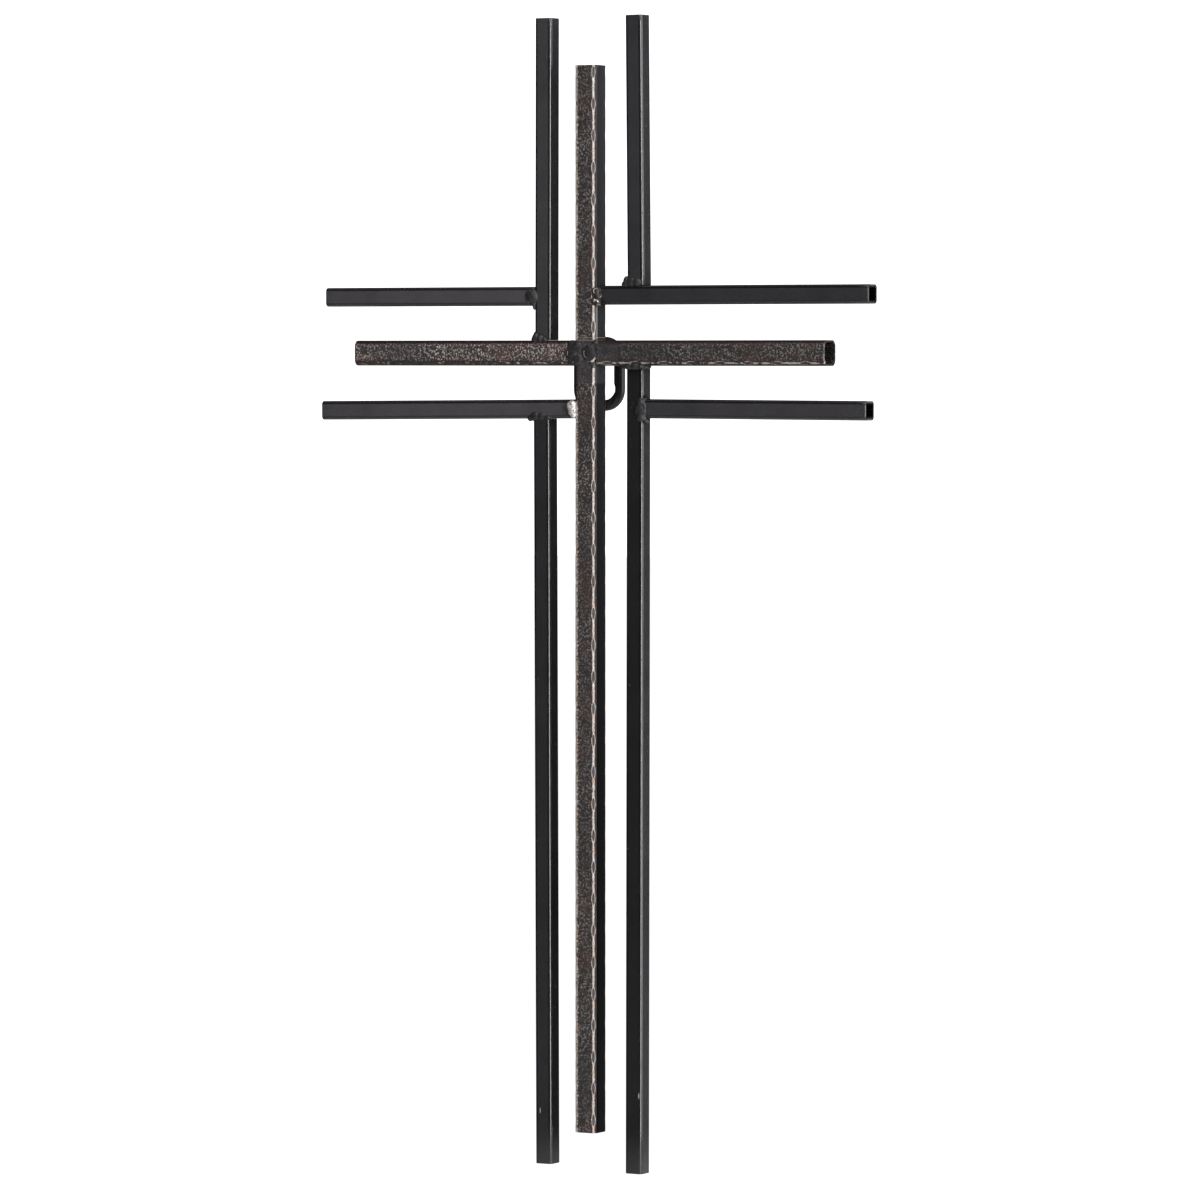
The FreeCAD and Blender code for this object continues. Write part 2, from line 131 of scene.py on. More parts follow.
# Each bead is run from overlapping puddles of weld. A puddle is its middle, across, back from
# the hammered fronts and up from the crossing, and its half sizes the same three ways, in mm.
BEADS = {
    "crossing_left": [
        (-9.0, 1.5, 0.2, 5.2, 2.8, 8.2),
        (-5.6, 1.5, 3.6, 4.8, 2.7, 4.4),
        (-5.4, 1.5, -3.8, 4.8, 2.7, 4.6),
        (-11.5, 1.4, -0.4, 2.6, 2.6, 6.2),
    ],
    "crossing_right": [
        (3.3, 1.6, 0.0, 6.2, 2.9, 6.3),
        (8.6, 2.4, 1.6, 2.6, 2.7, 4.4),
        (7.2, 2.2, 6.6, 2.6, 2.4, 1.8),
        (4.6, 1.9, -6.4, 3.0, 2.2, 2.0),
    ],
    "upper_left_foot": [
        (-39.0, 5.0, 8.6, 1.7, 2.4, 2.2),
        (-36.6, 3.2, 8.8, 2.9, 2.4, 4.0),
        (-33.4, 3.2, 8.6, 2.8, 2.3, 3.4),
        (-30.4, 3.4, 8.2, 2.2, 2.0, 2.0),
        (-37.8, 5.4, 11.0, 1.6, 2.4, 2.8),
    ],
    "upper_left_bar": [
        (-40.3, 4.8, 35.4, 4.9, 2.9, 5.3),
        (-38.8, 4.9, 30.4, 1.6, 1.7, 1.8),
        (-38.5, 4.6, 28.6, 1.0, 1.3, 1.6),
    ],
    "upper_right_bar": [
        (8.3, 2.6, 31.6, 2.3, 2.7, 2.7),
        (8.7, 2.4, 35.4, 2.5, 2.8, 2.8),
        (8.2, 2.7, 38.9, 2.3, 2.7, 2.6),
        (6.4, 1.5, 33.0, 1.9, 1.8, 3.6),
        (6.4, 1.4, 38.0, 1.8, 1.8, 3.4),
    ],
    "upper_right_foot": [
        (25.8, 6.0, 43.0, 2.0, 2.6, 2.0),
        (27.4, 5.6, 44.6, 2.2, 2.6, 3.6),
        (31.0, 4.9, 44.4, 3.6, 2.0, 3.2),
        (35.2, 4.9, 44.2, 3.6, 2.0, 2.8),
    ],
    "lower_right_top": [
        (26.8, 4.2, -8.1, 2.6, 2.8, 1.7),
        (30.6, 3.0, -8.0, 3.4, 2.7, 2.5),
        (35.2, 2.8, -8.1, 3.6, 2.7, 2.6),
        (39.2, 4.2, -8.2, 2.6, 3.8, 2.2),
        (41.0, 7.6, -8.4, 1.8, 4.2, 1.7),
    ],
    "lower_right_bar": [
        (37.9, 4.6, -31.0, 3.0, 2.3, 3.4),
        (37.4, 4.5, -35.6, 4.2, 2.3, 4.2),
        (37.9, 4.6, -39.8, 3.2, 2.3, 3.4),
        (40.4, 6.2, -35.0, 2.4, 3.2, 7.2),
        (41.0, 6.6, -42.3, 2.4, 3.0, 1.8),
        (41.5, 6.8, -26.9, 2.1, 1.4, 0.9),
    ],
    "lower_left_bar": [
        (-10.2, 2.8, -33.0, 3.8, 2.7, 3.5),
        (-9.4, 2.6, -36.4, 3.4, 2.7, 3.5),
        (-8.8, 2.8, -38.8, 2.6, 2.5, 2.2),
        (-12.2, 3.6, -32.6, 2.0, 1.6, 2.6),
    ],
    "lower_left_top": [
        (-41.6, 5.1, -40.8, 2.2, 2.0, 2.2),
        (-38.0, 4.7, -39.8, 3.6, 2.0, 3.2),
        (-33.6, 4.9, -39.6, 3.4, 1.8, 2.8),
        (-29.6, 5.1, -40.4, 2.6, 1.6, 2.2),
    ],
    "ring_left": [
        (-17.6, 16.8, 2.8, 2.2, 2.2, 3.4),
        (-17.8, 17.0, -1.8, 2.4, 2.4, 3.6),
    ],
    "ring_right": [
        (17.6, 16.8, 2.4, 2.2, 2.2, 3.6),
        (17.8, 17.0, -2.2, 2.4, 2.4, 3.4),
    ],
}

# How far the paint has come off each bead, how coppery the metal under it is, and how much paler its
# metal is painted as a painted highlight.
CHIPS_AND_PAINTED_SHINE = {
    "crossing_left": (0.12, 0.2, 1.7),
    "crossing_right": (0.08, 0.3, 1.2),
    "upper_left_foot": (0.0, 0.1, 1.0),
    "upper_left_bar": (0.0, 0.1, 1.0),
    "upper_right_bar": (0.18, 0.9, 1.3),
    "upper_right_foot": (-0.1, 0.2, 1.0),
    "lower_right_top": (0.08, 1.0, 1.0),
    "lower_right_bar": (-0.1, 0.2, 1.0),
    "lower_left_bar": (0.42, 0.0, 1.8),
    "lower_left_top": (0.0, 0.1, 1.0),
    "ring_left": (0.0, 0.3, 1.0),
    "ring_right": (0.0, 0.3, 1.0),
}

# Painted highlights: arcs of bare metal laid along the edge of a puddle where its rim catches the
# light: the bead, its puddle, how far out from the puddle's middle as a share of its size, and from
# and to what angle from rightwards, in degrees. ARC_WIDTH is a share of the puddle's size too, and
# the setting after it is how much an arc adds to the metal showing.
ARC_WIDTH = 0.1
ARC_HIGHLIGHT = 0.36
HIGHLIGHT_ARCS = (
    ("crossing_left", 3, 0.75, 100, 260),
    ("crossing_right", 0, 0.5, 150, 250),
    ("crossing_right", 0, 0.88, -75, -15),
    ("upper_left_bar", 0, 0.76, 95, 250),
    ("upper_right_bar", 0, 0.6, 10, 170),
    ("upper_right_bar", 2, 0.6, 60, 240),
)

# Softbox: turn round the cross from its front to the right and rise, in degrees, distance,
# width and height in metres, and power in watts.
SOFTBOXES = {
    "right_softbox": (104, 8, 2.4, 1.2, 2.4, 62),
    "corner_strip": (61, 2, 2.6, 0.4, 2.2, 85),
    "left_softbox": (-31, 0, 3.2, 2.0, 2.2, 1.5),
    "key_softbox": (35, 52, 2.6, 2.0, 2.0, 75),
}

# The white room round the stage: its light on the cross, and its white behind it.
ROOM_LIGHT = 0.045
ROOM_WHITE = 1.4

# The camera turns about the middle of the tubes, this far behind the hammered fronts.
TUBE_MIDDLE = 8 * MM


def linear(colour):
    """Turn an sRGB hex colour into linear red, green and blue."""
    channels = [int(colour[at:at + 2], 16) / 255 for at in (1, 3, 5)]
    return [c / 12.92 if c <= 0.04045 else ((c + 0.055) / 1.055) ** 2.4 for c in channels]


def length_setting(name, description, size):
    """A length that a user may change, in mm."""
    return FloatProperty(name=name, description=description, default=size * MM, unit="LENGTH")


def angle_setting(name, description, degrees):
    """An angle that a user may change, in degrees."""
    return FloatProperty(
        name=name, description=description, default=math.radians(degrees), subtype="ANGLE")


def colour_setting(name, description, colour):
    """A colour that a user may change, in sRGB."""
    return FloatVectorProperty(
        name=name, description=description, default=(*linear(colour), 1), subtype="COLOR",
        size=4, min=0, max=1)


class TubeSizes(bpy.types.PropertyGroup):
    """Section of the two tubes that the cross is cut from"""

    hammered_corner: length_setting(
        "Hammered corner", "Outside corner radius of the hammered tube", 4)
    smooth_corner: length_setting(
        "Smooth corner", "Outside corner radius of the smooth tube", 2.4)
    wall: length_setting("Wall", "Wall of both tubes", 1.5)
    deburr: length_setting("Deburr", "Chamfer filed round each cut end", 0.25)


class HammerMarks(bpy.types.PropertyGroup):
    """Marks that the rolls press into the corners and fronts of the hammered tube"""

    pitch: length_setting("Pitch", "Distance from mark to mark", 19.92)
    start: length_setting("Start", "First mark from the tube's end", 8.3)
    radius: length_setting("Roll radius", "Radius of the roll that presses a mark", 45)
    depth: length_setting("Depth", "Depth of a mark", 0.18)
    turn: angle_setting("Turn", "Turn of a mark round its corner from the face before it", 35)
    grain: length_setting("Grain", "Size of the dimples rolled into the fronts and backs", 2.2)
    grain_depth: length_setting("Grain depth", "Depth of the dimples", 0.16)


class RingSizes(bpy.types.PropertyGroup):
    """Oval ring of round rod that the cross hangs by"""

    rod: length_setting("Rod", "Thickness of the rod", 7)
    bend: length_setting(
        "Bend", "Radius of the ring's four bends along the middle of the rod", 10)
    notch_radius: length_setting(
        "Notch radius", "Radius of the worn notch in the right leg", 4.5)
    notch_depth: length_setting("Notch depth", "Depth of the worn notch", 2)
    notch_drop: length_setting(
        "Notch drop", "Middle of the notch below the inside top of the ring", 25.8)


class BeadSizes(bpy.types.PropertyGroup):
    """How the weld beads froze"""

    voxel: length_setting("Fineness", "Size of the facets of a bead", 0.3)
    ripple: length_setting("Ripple", "Size of the ripples on a bead", 2.4)
    ripple_height: length_setting("Ripple height", "Height of the ripples", 0.45)


class PaintColours(bpy.types.PropertyGroup):
    """Colours of the paint and of the metal that shows through it"""

    black: colour_setting(
        "Black paint", "Satin black paint of the smooth tubes and the beads", "#1b1a1c")
    bronze: colour_setting(
        "Bronze paint", "Dark bronze paint of the hammered tubes and the ring", "#1d1a1b")
    rubbed: colour_setting(
        "Rubbed paint", "Grey brown of the grain where the paint is rubbed", "#77706c")
    copper: colour_setting("Copper", "Copper brown that shows in patches", "#4f3128")
    bare: colour_setting("Bare metal", "Pale metal rubbed bare along the corners", "#9a9694")
    # the rust colour beside the corners also serves as painted shade there
    rust_and_shade: colour_setting("Rust", "Dark red brown beside the bare corners", "#1c0f0c")
    warm_metal: colour_setting(
        "Warm metal", "Copper cream that the bare metal turns to in places", "#9a8474")
    floor: colour_setting("Floor", "Pale matt floor", "#f2f2f1")


class StudioSettings(bpy.types.PropertyGroup):
    """Floor and camera"""

    azimuth: angle_setting("Camera turn", "How far round to the right the camera stands", 29.5)
    distance: length_setting("Camera distance", "From the crossing to the camera", 4100)
    aim_drop: length_setting(
        "Aim drop", "How far below the crossing the camera aims", 154.9)
    aim_shift: length_setting(
        "Aim shift", "How far to the right of the crossing the camera aims", 6)
    lens: FloatProperty(
        name="Lens", description="Focal length of the camera on a 36 mm sensor, in mm",
        default=196.05)
    floor_drop: length_setting("Floor drop", "Floor below the crossing", 1200)


def alone(piece):
    """Make one object the only selected and the active one."""
    bpy.ops.object.select_all(action="DESELECT")
    piece.select_set(True)
    bpy.context.view_layer.objects.active = piece


def pick(piece, kind, test):
    """In edit mode, select only the edges or faces that pass a test."""
    bpy.ops.mesh.select_all(action="DESELECT")
    shape = bmesh.from_edit_mesh(piece.data)
    found = [element for element in getattr(shape, kind) if test(element)]
    if not found:
        raise RuntimeError("nothing to select on " + piece.name)
    for element in found:
        element.select_set(True)
    bmesh.update_edit_mesh(piece.data)


def lengthwise(edge):
    """Whether an edge runs up an upright tube."""
    step = edge.verts[1].co - edge.verts[0].co
    return abs(step.z) > math.hypot(step.x, step.y)


def coordinates(piece):
    """Places of a piece's vertices, one row each."""
    places = np.empty(len(piece.data.vertices) * 3)
    piece.data.vertices.foreach_get("co", places)
    return places.reshape(-1, 3)


def move_vertices(piece, places):
    piece.data.vertices.foreach_set("co", places.ravel())
    piece.data.update()


def store(piece, name, values):
    """Keep one number or one place for each vertex, for a material to read."""
    values = np.asarray(values, dtype=np.float32)
    kind, field = ("FLOAT", "value") if values.ndim == 1 else ("FLOAT_VECTOR", "vector")
    layer = piece.data.attributes.new(name, kind, "POINT")
    layer.data.foreach_set(field, values.ravel())


def finish_piece(piece, material, slot, *nodes):
    """Give a piece its material and its body, and hide the nodes that it stands for. The slot is not
    used.
    """
    piece.data.materials.clear()
    piece.data.materials.append(material)
    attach(piece, "root")
    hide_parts(*nodes)


def tube_line(node):
    """Start, length, width and angle from upright of a tube, from its CAD node."""
    places = coordinates(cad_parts[node])
    end_reach = 0.3 * MM
    low = places.min(axis=0)
    high = places.max(axis=0)
    axis = 2 if high[2] - low[2] > high[0] - low[0] else 0
    ends = []
    for level in (low[axis], high[axis]):
        rim = places[np.abs(places[:, axis] - level) < end_reach]
        middle = (rim.min(axis=0) + rim.max(axis=0)) / 2
        middle[axis] = level
        ends.append(Vector(middle))
    run = ends[1] - ends[0]
    return ends[0], run.length, high[1] - low[1], math.atan2(run.x, run.z)


def open_square(name, width, length, corner, across, steps):
    """Make the outside of an upright open square tube, divided across and along."""
    bpy.ops.object.select_all(action="DESELECT")
    bpy.ops.mesh.primitive_cube_add(
        size=1, location=(0, 0, length / 2), scale=(width, width, length))
    piece = bpy.context.object
    piece.name = name
    bpy.ops.object.transform_apply(location=True, rotation=False, scale=True)
    bpy.ops.object.mode_set(mode="EDIT")
    bpy.ops.mesh.select_mode(type="FACE")
    pick(piece, "faces", lambda face: abs(face.normal.z) > 0.5)
    bpy.ops.mesh.delete(type="ONLY_FACE")
    bpy.ops.mesh.select_mode(type="EDGE")
    pick(piece, "edges", lengthwise)
    bpy.ops.mesh.bevel(offset=corner, offset_type="OFFSET", segments=8, affect="EDGES")
    pick(piece, "edges", lambda edge: not lengthwise(edge) and edge.calc_length() > corner)
    bpy.ops.mesh.subdivide(number_cuts=across - 1)
    for count in steps:
        if count > 1:
            pick(piece, "edges", lengthwise)
            bpy.ops.mesh.subdivide(number_cuts=count - 1)
    bpy.ops.object.mode_set(mode="OBJECT")
    return piece


def corner_places(places, width, corner, turn):
    """Distance round the section from the mark line of the nearest corner, and that corner."""
    best = np.full(len(places), np.inf)
    nearest = np.zeros(len(places), dtype=int)
    x = places[:, 0]
    y = places[:, 1]
    for number in range(4):
        right = x - (width / 2 - corner)
        front = -y - (width / 2 - corner)
        around = corner * np.arctan2(np.maximum(right, 0), np.maximum(front, 0))
        around += np.minimum(right, 0) - np.minimum(front, 0)
        # the two faces that don't meet at this corner are left out
        offset = np.where((right > 0) | (front > 0), around - corner * turn, np.inf)
        closer = np.abs(offset) < np.abs(best)
        best = np.where(closer, offset, best)
        nearest = np.where(closer, number, nearest)
        x, y = y, -x
    return best, nearest


def press_marks(places, width, corner, marks):
    """Press the rolled marks into the four corners of an upright hammered tube."""
    reach = (width / 2 - corner) * (math.sin(marks.turn) + math.cos(marks.turn)) + corner
    middle = reach - marks.depth + marks.radius
    off_mark = (places[:, 2] - marks.start + marks.pitch / 2) % marks.pitch - marks.pitch / 2
    limit = middle - np.sqrt(marks.radius ** 2 - off_mark ** 2)
    for number in range(4):
        angle = marks.turn - math.pi / 2 + number * math.pi / 2
        outward = np.array((math.cos(angle), math.sin(angle), 0))
        over = np.maximum(places @ outward - limit, 0)
        places -= over[:, None] * outward
    return off_mark


def painted_light_tones(places, pale, length):
    """Painted light: paleness painted on a tube's front, and down its sides, for how the light falls
    on them.
    """
    front, top, foot = pale
    side = foot + (top - foot) * (places[:, 2] / length) ** 2
    return np.where(np.abs(places[:, 0]) > np.abs(places[:, 1]), side, front)


def paint_bore_shade(piece, width, corner, wall):
    """Paint shade into the inside of a tube, darkening it, and leave the rims of its ends filed
    pale.
    """
    bore_painted_shade = 0.1
    rim_paler = 4
    rim_reach = 0.1 * MM
    places = coordinates(piece)
    rim = (places[:, 2] < rim_reach) | (places[:, 2] > places[:, 2].max() - rim_reach)
    x = np.abs(places[:, 0]) - (width / 2 - corner)
    y = np.abs(places[:, 1]) - (width / 2 - corner)
    inward = corner - np.hypot(np.maximum(x, 0), np.maximum(y, 0))
    inward -= np.minimum(np.maximum(x, y), 0)
    layer = piece.data.attributes["tone"]
    values = np.empty(len(places), dtype=np.float32)
    layer.data.foreach_get("value", values)
    values = np.where(rim, rim_paler * values, values)
    # painted shade: the inside of the bore is darkened to a tenth
    values = np.where(inward > 0.6 * wall, bore_painted_shade, values)
    layer.data.foreach_set("value", values.astype(np.float32))


def cut_ends(piece, width, wall, deburr):
    """Give an open tube its bore and file its cut ends."""
    top = max(vertex.co.z for vertex in piece.data.vertices)
    inner = 1 - 2 * wall / width

    def at_end(edge, level):
        return edge.is_boundary and all(abs(v.co.z - level) < 1e-6 for v in edge.verts)

    bpy.ops.object.mode_set(mode="EDIT")
    bpy.ops.mesh.select_mode(type="EDGE")
    for level in (0, top):
        pick(piece, "edges", lambda edge: at_end(edge, level))
        bpy.ops.mesh.extrude_edges_move()
        bpy.ops.transform.resize(value=(inner, inner, 1), center_override=(0, 0, level))
    pick(piece, "edges", lambda edge: edge.is_boundary)
    bpy.ops.mesh.bridge_edge_loops()
    half = width / 2 - wall / 2

    def outer_rim(edge):
        ends = [v.co for v in edge.verts]
        level = all(min(abs(end.z), abs(end.z - top)) < 1e-6 for end in ends)
        middle = (ends[0] + ends[1]) / 2
        side = max(abs(middle.x), abs(middle.y)) > half or len(edge.link_faces) == 2 and any(
            abs(face.normal.z) < 0.5 and face.normal.dot(middle) > 0 for face in edge.link_faces)
        return level and side and any(abs(face.normal.z) > 0.5 for face in edge.link_faces)

    pick(piece, "edges", outer_rim)
    bpy.ops.mesh.bevel(offset=deburr, offset_type="OFFSET", segments=2, affect="EDGES")
    bpy.ops.mesh.select_all(action="SELECT")
    bpy.ops.mesh.normals_make_consistent(inside=False)
    bpy.ops.object.mode_set(mode="OBJECT")


def place_tube(piece, start, angle):
    """Turn an upright tube to its angle, carry it to its place and keep that in its mesh."""
    alone(piece)
    piece.rotation_euler = (0, angle, 0)
    piece.location = start
    bpy.ops.object.transform_apply(location=True, rotation=True, scale=True)
    bpy.ops.object.shade_smooth_by_angle(angle=math.radians(35))


def roughen(piece, group, size, height, mid=1.0):
    """Push a piece's surface in by a cloudy grain, within a vertex group if one is named."""
    clouds = bpy.data.textures.new(piece.name + "_grain", "CLOUDS")
    clouds.noise_scale = size
    clouds.noise_depth = 2
    push = piece.modifiers.new("grain", "DISPLACE")
    push.texture = clouds
    push.texture_coords = "LOCAL"
    push.strength = height
    push.mid_level = mid
    if group:
        push.vertex_group = group
    alone(piece)
    bpy.ops.object.modifier_apply(modifier=push.name)


def add(tree, kind, inputs=(), output=0, **settings):
    """Add a node, set it up, set or link its inputs and return one of its outputs."""
    made = tree.nodes.new("ShaderNode" + kind)
    for name, value in settings.items():
        setattr(made, name, value)
    for socket, value in dict(inputs).items():
        if isinstance(value, bpy.types.NodeSocket):
            tree.links.new(value, made.inputs[socket])
        else:
            made.inputs[socket].default_value = value
    return made.outputs[output] if made.outputs else made


def new_material(name):
    """Start an empty material and return it with its node tree."""
    material = bpy.data.materials.new(name)
    material.use_nodes = True
    material.node_tree.nodes.clear()
    return material, material.node_tree


def rubbed_bronze_paint(paint, marks):
    """Hammered steel tube, dipped in dark bronze paint and rubbed back by hand.

    The eye gets a nearly black brown, pebbled by the rolled grain, with copper patches and a pale
    line of bare metal along each corner that parts round every rolled mark; that line is partly real
    wear and partly a painted highlight, with painted shade beside it.
    """
    material, tree = new_material("rubbed_bronze_paint_on_hammered_steel")
    point = add(tree, "Attribute", output="Vector", attribute_name="tube_point")
    along, ridge, worn, rub, dimpled, tone, shine, height = (
        add(tree, "Attribute", output="Fac", attribute_name=name) for name in (
            "along", "ridge", "worn", "rub", "dimpled", "tone", "shine", "height"))

    # the rolled grain is a little over a millimetre across, and its tops are rubbed pale
    grain = add(tree, "TexNoise",
                {"Vector": point, "Scale": 1 / (1.1 * MM), "Detail": 1.5, "Roughness": 0.5})
    tops = add(tree, "MapRange",
               {"Value": grain, "From Min": 0.5, "From Max": 0.66},
               interpolation_type="SMOOTHSTEP")
    drift = add(tree, "TexNoise",
                {"Vector": point, "Scale": 1 / (26 * MM), "Detail": 3, "Roughness": 0.65})
    thin = add(tree, "MapRange",
               {"Value": drift, "From Min": 0.35, "From Max": 0.7, "To Min": 0.3, "To Max": 1.0})
    flecks = add(tree, "Math", {0: tops, 1: dimpled}, operation="MULTIPLY")
    flecks = add(tree, "Math", {0: flecks, 1: thin}, operation="MULTIPLY")
    base = add(tree, "Mix", {0: dimpled, 6: paint.black, 7: paint.bronze}, 2, data_type="RGBA")
    coat = add(tree, "Mix", {0: flecks, 6: base, 7: paint.rubbed}, 2, data_type="RGBA")

    # copper comes through in patches some twenty millimetres long
    smear = add(tree, "Mapping", {"Vector": point, "Scale": (1, 1, 0.5)})
    patch = add(tree, "TexNoise",
                {"Vector": smear, "Scale": 1 / (11 * MM), "Detail": 4, "Roughness": 0.7})
    patches = add(tree, "MapRange",
                  {"Value": patch, "From Min": 0.5, "From Max": 0.66, "To Max": 0.27})
    patches = add(tree, "Math", {0: patches, 1: dimpled}, operation="MULTIPLY")
    coat = add(tree, "Mix", {0: patches, 6: coat, 7: paint.copper}, 2, data_type="RGBA")
    # the tone attribute carries painted light, each face paler or darker as the light falls on it,
    # and painted shade in the bore
    shade = add(tree, "VectorMath", {0: coat, "Scale": tone}, operation="SCALE")
    # beside the corners the coat is darkened to a rusty brown: partly real rust, partly painted
    # shade
    painted_corner_shade = add(tree, "MapRange",
                {"Value": ridge, "From Min": 1.3 * MM, "From Max": 2.3 * MM, "To Min": 1.0,
                 "To Max": 0.0}, interpolation_type="SMOOTHSTEP")
    shade = add(tree, "Mix", {0: painted_corner_shade, 6: shade, 7: paint.rust_and_shade}, 2, data_type="RGBA")
    # two runs of spatter cross the post just above the crossing
    off_run = add(tree, "Math", {0: height, 1: SPATTER_RISE}, operation="SUBTRACT")
    off_run = add(tree, "Math", {0: off_run}, operation="ABSOLUTE")
    off_run = add(tree, "Math", {0: off_run, 1: SPATTER_GAP}, operation="SUBTRACT")
    off_run = add(tree, "Math", {0: off_run}, operation="ABSOLUTE")
    spatter = add(tree, "MapRange",
                  {"Value": off_run, "From Min": 0.15 * MM, "From Max": 0.35 * MM, "To Min": 0.6,
                   "To Max": 0.0})
    spatter = add(tree, "Math", {0: spatter, 1: drift}, operation="MULTIPLY")
    shade = add(tree, "Mix", {0: spatter, 6: shade, 7: paint.warm_metal}, 2, data_type="RGBA")

    # bare line: one band between two marks, which parts round the dark lens of each mark; its pale
    # colour is partly real wear and partly a painted highlight along the corner
    off_mark = add(tree, "Math", {0: along, 1: marks.pitch / 2}, operation="PINGPONG")
    share = add(tree, "Math", {0: off_mark, 1: LENS_LENGTH / 2}, operation="DIVIDE")
    share = add(tree, "Math", {0: share, 1: 2.0}, operation="POWER")
    opened = add(tree, "Math", {0: 1.0, 1: share}, operation="SUBTRACT", use_clamp=True)
    lens = add(tree, "Math", {0: opened, 1: 0.5}, operation="POWER")
    lens = add(tree, "Math", {0: lens, 1: LENS_WIDTH / 2}, operation="MULTIPLY")
    band = add(tree, "MapRange",
               {"Value": opened, "To Min": BARE_WIDTH / 2, "To Max": LENS_WIDTH / 2 + 0.4 * MM})
    fray = add(tree, "TexNoise",
               {"Vector": point, "Scale": 1 / (1.6 * MM), "Detail": 3, "Roughness": 0.7})
    frayed = add(tree, "MapRange",
                 {"Value": fray, "From Min": 0.3, "From Max": 0.7, "To Min": -0.35 * MM,
                  "To Max": 0.35 * MM})
    frayed = add(tree, "Math", {0: worn, 1: frayed}, operation="ADD")
    outside = add(tree, "Math", {0: frayed, 1: band}, operation="SUBTRACT")
    within = add(tree, "MapRange",
                 {"Value": outside, "From Min": -0.15 * MM, "From Max": 0.15 * MM, "To Min": 1.0,
                  "To Max": 0.0})
    into = add(tree, "Math", {0: ridge, 1: lens}, operation="SUBTRACT")
    around = add(tree, "MapRange", {"Value": into, "From Min": -0.15 * MM, "From Max": 0.1 * MM})
    bare = add(tree, "Math", {0: within, 1: around}, operation="MULTIPLY")
    # where a corner is rubbed less, the bare band is broken into flecks
    handled = add(tree, "TexNoise",
                  {"Vector": point, "Scale": 1 / (4 * MM), "Detail": 3, "Roughness": 0.6})
    least = add(tree, "MapRange", {"Value": rub, "From Min": KEPT, "To Min": 1.0, "To Max": 0.15})
    kept = add(tree, "Math", {0: handled, 1: least}, operation="SUBTRACT")
    kept = add(tree, "MapRange", {"Value": kept, "From Min": 0.0, "From Max": 0.08})
    bare = add(tree, "Math", {0: bare, 1: kept}, operation="MULTIPLY")
    warm = add(tree, "TexNoise", {"Vector": point, "Scale": 1 / (7 * MM), "Detail": 2})
    warmth = add(tree, "MapRange", {"Value": warm, "From Min": 0.45, "From Max": 0.65})
    metal = add(tree, "Mix", {0: warmth, 6: paint.bare, 7: paint.warm_metal}, 2, data_type="RGBA")
    # painted highlight: the shine attribute makes the bare metal's colour paler, on the post's left
    # corner and on the shiniest beads
    metal = add(tree, "VectorMath", {0: metal, "Scale": shine}, operation="SCALE")
    colour = add(tree, "Mix", {0: bare, 6: shade, 7: metal}, 2, data_type="RGBA")

    sheen = add(tree, "MapRange",
                {"Value": grain, "From Min": 0.3, "From Max": 0.7, "To Min": 0.5, "To Max": 0.34})
    matt = add(tree, "Math", {0: dimpled, 1: painted_corner_shade}, operation="MAXIMUM")
    sheen = add(tree, "Mix", {0: matt, 2: 0.24, 3: sheen})
    gloss = add(tree, "Mix", {0: bare, 2: sheen, 3: 0.45})
    bare_metal = add(tree, "Math", {0: bare, 1: 0.3}, operation="MULTIPLY")
    pebble = add(tree, "Math", {0: grain, 1: dimpled}, operation="MULTIPLY")
    relief = add(tree, "Bump", {"Height": pebble, "Strength": 1.0, "Distance": 0.7 * MM})
    skin = add(tree, "TexNoise", {"Vector": point, "Scale": 1 / (0.9 * MM), "Detail": 2})
    relief = add(tree, "Bump",
                 {"Height": skin, "Strength": 0.35, "Distance": 0.05 * MM, "Normal": relief})
    surface = add(tree, "BsdfPrincipled",
                  {"Base Color": colour, "Metallic": bare_metal, "Roughness": gloss,
                   "Normal": relief})
    add(tree, "OutputMaterial", {"Surface": surface}, None)
    return material


